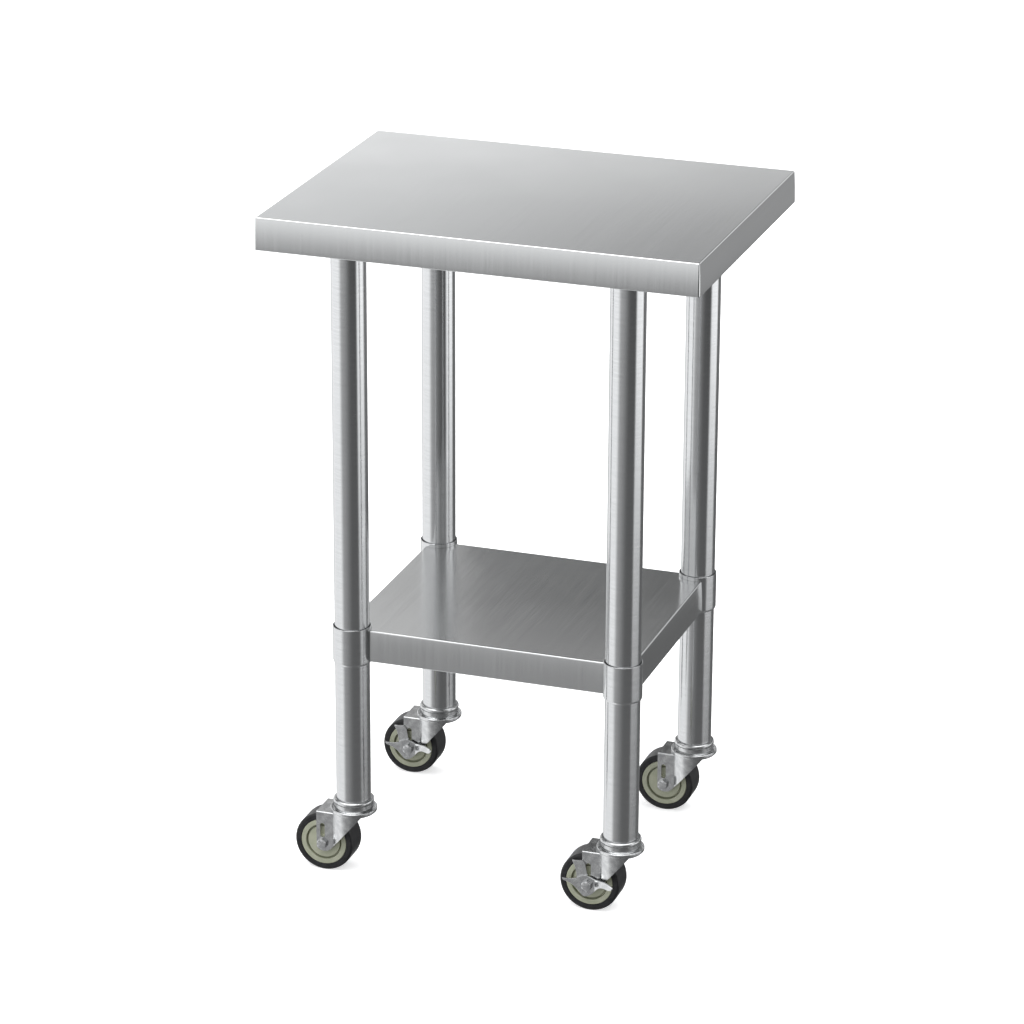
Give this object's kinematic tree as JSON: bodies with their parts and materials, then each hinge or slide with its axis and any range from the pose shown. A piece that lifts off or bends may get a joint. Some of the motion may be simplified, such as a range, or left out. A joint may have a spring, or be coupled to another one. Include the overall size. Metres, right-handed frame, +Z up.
{
  "type": "work table",
  "caption": "Stainless work table: folded rectangular top, round legs, smaller undershelf that slides on collars, swivel casters, one diagonal pair with side brakes.",
  "frame": {"origin": "on the floor, under the middle of the top", "axes": "+X along the long side of the top, -Y towards the front, +Z up"},
  "size_m": [0.61, 0.457, 0.946],
  "materials": {
    "stainless_sheet": "long brushed grain, satin",
    "stainless_tube": "polished tube, faint grain round the tube",
    "galvanized_steel": "galvanized, dull",
    "bright_zinc": "bright zinc plate on pressed steel",
    "hub_plastic": "moulded, olive grey, satin",
    "tyre_rubber": "moulded rubber, matt"
  },
  "bodies": {
    "frame": {"top_pan": "stainless_sheet", "channel_left": "galvanized_steel", "channel_right": "galvanized_steel", "leg_socket_fl": "galvanized_steel", "socket_screw_fl": "bright_zinc", "leg_fl": "stainless_tube", "caster_stem_fl": "bright_zinc", "caster_head_fl": "bright_zinc", "leg_socket_fr": "galvanized_steel", "socket_screw_fr": "bright_zinc", "leg_fr": "stainless_tube", "caster_stem_fr": "bright_zinc", "caster_head_fr": "bright_zinc", "leg_socket_bl": "galvanized_steel", "socket_screw_bl": "bright_zinc", "leg_bl": "stainless_tube", "caster_stem_bl": "bright_zinc", "caster_head_bl": "bright_zinc", "leg_socket_br": "galvanized_steel", "socket_screw_br": "bright_zinc", "leg_br": "stainless_tube", "caster_stem_br": "bright_zinc", "caster_head_br": "bright_zinc"},
    "shelf": {"undershelf": "stainless_sheet", "shelf_collar_fl": "stainless_tube", "collar_screw_fl": "bright_zinc", "shelf_collar_fr": "stainless_tube", "collar_screw_fr": "bright_zinc", "shelf_collar_bl": "stainless_tube", "collar_screw_bl": "bright_zinc", "shelf_collar_br": "stainless_tube", "collar_screw_br": "bright_zinc"},
    "swivel_fl": {"caster_fork_fl": "bright_zinc", "axle_bolt_fl": "bright_zinc", "axle_nut_fl": "bright_zinc", "axle_sleeve_fl": "bright_zinc"},
    "wheel_fl": {"wheel_hub_fl": "hub_plastic", "tyre_fl": "tyre_rubber"},
    "swivel_fr": {"caster_fork_fr": "bright_zinc", "axle_bolt_fr": "bright_zinc", "axle_nut_fr": "bright_zinc", "axle_sleeve_fr": "bright_zinc", "brake_plate_fr": "bright_zinc"},
    "wheel_fr": {"wheel_hub_fr": "hub_plastic", "tyre_fr": "tyre_rubber"},
    "brake_fr": {"brake_lever_fr": "bright_zinc"},
    "swivel_bl": {"caster_fork_bl": "bright_zinc", "axle_bolt_bl": "bright_zinc", "axle_nut_bl": "bright_zinc", "axle_sleeve_bl": "bright_zinc", "brake_plate_bl": "bright_zinc"},
    "wheel_bl": {"wheel_hub_bl": "hub_plastic", "tyre_bl": "tyre_rubber"},
    "brake_bl": {"brake_lever_bl": "bright_zinc"},
    "swivel_br": {"caster_fork_br": "bright_zinc", "axle_bolt_br": "bright_zinc", "axle_nut_br": "bright_zinc", "axle_sleeve_br": "bright_zinc"},
    "wheel_br": {"wheel_hub_br": "hub_plastic", "tyre_br": "tyre_rubber"}
  },
  "joints": [
    {"name": "shelf_slide", "type": "slide", "parent": "frame", "child": "shelf", "axis": [0, 0, 1], "range_m": [-0.18, 0.5]},
    {"name": "caster_swivel_fl", "type": "hinge", "parent": "frame", "child": "swivel_fl", "pos_m": [-0.1935, -0.1735, 0.0952], "axis": [0, 0, 1], "continuous": true},
    {"name": "wheel_spin_fl", "type": "hinge", "parent": "swivel_fl", "child": "wheel_fl", "pos_m": [-0.2315, -0.1735, 0.04229], "axis": [0, 1, 0], "continuous": true},
    {"name": "caster_swivel_fr", "type": "hinge", "parent": "frame", "child": "swivel_fr", "pos_m": [0.1935, -0.1735, 0.0952], "axis": [0, 0, 1], "continuous": true},
    {"name": "wheel_spin_fr", "type": "hinge", "parent": "swivel_fr", "child": "wheel_fr", "pos_m": [0.1555, -0.1735, 0.04229], "axis": [0, 1, 0], "continuous": true},
    {"name": "brake_press_fr", "type": "hinge", "parent": "swivel_fr", "child": "brake_fr", "pos_m": [0.1555, -0.1735, 0.04229], "axis": [0, 1, 0], "range_deg": [0, 18]},
    {"name": "caster_swivel_bl", "type": "hinge", "parent": "frame", "child": "swivel_bl", "pos_m": [-0.1935, 0.1735, 0.0952], "axis": [0, 0, 1], "continuous": true},
    {"name": "wheel_spin_bl", "type": "hinge", "parent": "swivel_bl", "child": "wheel_bl", "pos_m": [-0.2315, 0.1735, 0.04229], "axis": [0, 1, 0], "continuous": true},
    {"name": "brake_press_bl", "type": "hinge", "parent": "swivel_bl", "child": "brake_bl", "pos_m": [-0.2315, 0.1735, 0.04229], "axis": [0, 1, 0], "range_deg": [0, 18]},
    {"name": "caster_swivel_br", "type": "hinge", "parent": "frame", "child": "swivel_br", "pos_m": [0.1935, 0.1735, 0.0952], "axis": [0, 0, 1], "continuous": true},
    {"name": "wheel_spin_br", "type": "hinge", "parent": "swivel_br", "child": "wheel_br", "pos_m": [0.1555, 0.1735, 0.04229], "axis": [0, 1, 0], "continuous": true}
  ]
}
